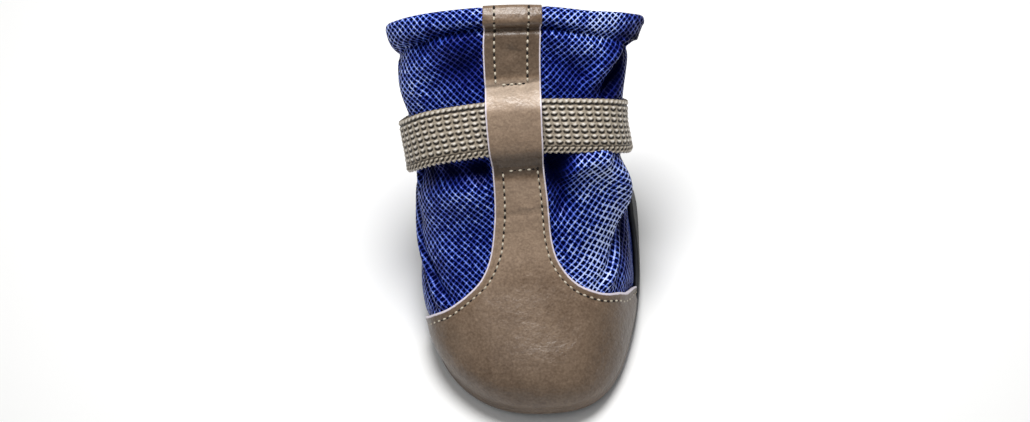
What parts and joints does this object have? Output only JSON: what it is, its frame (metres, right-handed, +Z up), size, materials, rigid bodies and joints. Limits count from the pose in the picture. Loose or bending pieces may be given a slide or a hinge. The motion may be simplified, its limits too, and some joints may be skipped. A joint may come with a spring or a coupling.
{
  "type": "dog boot",
  "caption": "Soft dog boot with a mesh upper, leather toe cap running up as a stem to the hem, grip sole and an elastic strap with a hook tab.",
  "frame": {"origin": "middle of the sole's underside, on the floor", "axes": "+Z up, the toe points to -Y and the heel to +Y, +X is the side where the sole's edge shows in the picture"},
  "size_m": [0.0937, 0.1209, 0.1152],
  "materials": {
    "grip_rubber": "matte textured rubber",
    "lining_felt": "soft dark lining",
    "air_mesh": "blue air mesh, sheen on the threads",
    "taupe_leather": "satin coated leather",
    "webbing": "knitted elastic webbing",
    "loop_tape": "fuzzy loop tape",
    "hook_tape": "stiff hook tape"
  },
  "bodies": {
    "root": {"outsole": "grip_rubber", "insole": "lining_felt", "upper": "air_mesh", "toe_cap": "taupe_leather", "strap_webbing": "webbing", "loop_patch": "loop_tape", "hook_tab": "hook_tape"}
  },
  "joints": []
}
